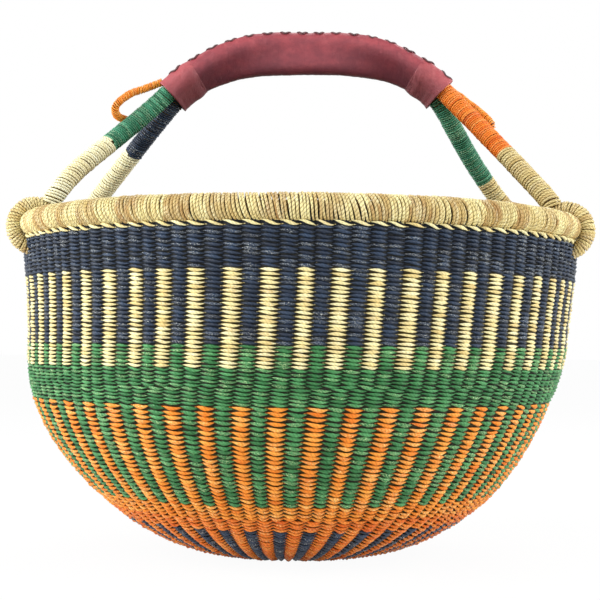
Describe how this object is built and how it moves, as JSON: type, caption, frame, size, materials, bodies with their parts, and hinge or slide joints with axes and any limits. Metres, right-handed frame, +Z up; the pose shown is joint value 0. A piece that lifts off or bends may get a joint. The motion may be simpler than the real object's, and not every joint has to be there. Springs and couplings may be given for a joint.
{
  "type": "woven round market basket",
  "caption": "Round twined grass market basket with striped colour bands, a straw-wrapped rim and a rigid double-arch handle bound in a laced leather grip.",
  "frame": {"origin": "on the ground under the middle of the flat base", "axes": "+Z up out of the mouth, +X along the handle towards the viewer's right, -Y towards the viewer of the picture"},
  "size_m": [0.431, 0.4264, 0.4033],
  "materials": {
    "natural_straw": "dry undyed twisted grass straw, slightly glossy",
    "navy_straw": "navy-dyed twisted grass straw",
    "green_straw": "green-dyed twisted grass straw",
    "orange_straw": "orange-dyed twisted grass straw",
    "leather": "burgundy-dyed, creased and mottled",
    "lace": "dark leather thong"
  },
  "bodies": {
    "root": {"arch_core_front": "natural_straw", "arch_core_rear": "natural_straw", "base_start": "navy_straw", "edge_row": "natural_straw", "eye_front_left": "natural_straw", "eye_front_right": "natural_straw", "eye_rear_left": "natural_straw", "eye_rear_right": "natural_straw", "grip_cuff_left": "leather", "grip_cuff_right": "leather", "grip_lace": "lace", "grip_leather": "leather", "rim_core": "natural_straw", "rim_wrap": "natural_straw", "tie_loop_left": "orange_straw", "tie_loop_right": "orange_straw", "weaver_green_lower": "green_straw", "weaver_green_upper": "green_straw", "weaver_natural": "natural_straw", "weaver_navy_base": "navy_straw", "weaver_navy_top": "navy_straw", "weaver_orange_lower": "orange_straw", "weaver_orange_upper": "orange_straw", "wrap_green_front_left": "green_straw", "wrap_green_rear_right": "green_straw", "wrap_natural_front_left": "natural_straw", "wrap_natural_front_right": "natural_straw", "wrap_natural_rear_left": "natural_straw", "wrap_natural_rear_right": "natural_straw", "wrap_navy_rear_left": "navy_straw", "wrap_orange_front_right": "orange_straw"}
  },
  "joints": []
}
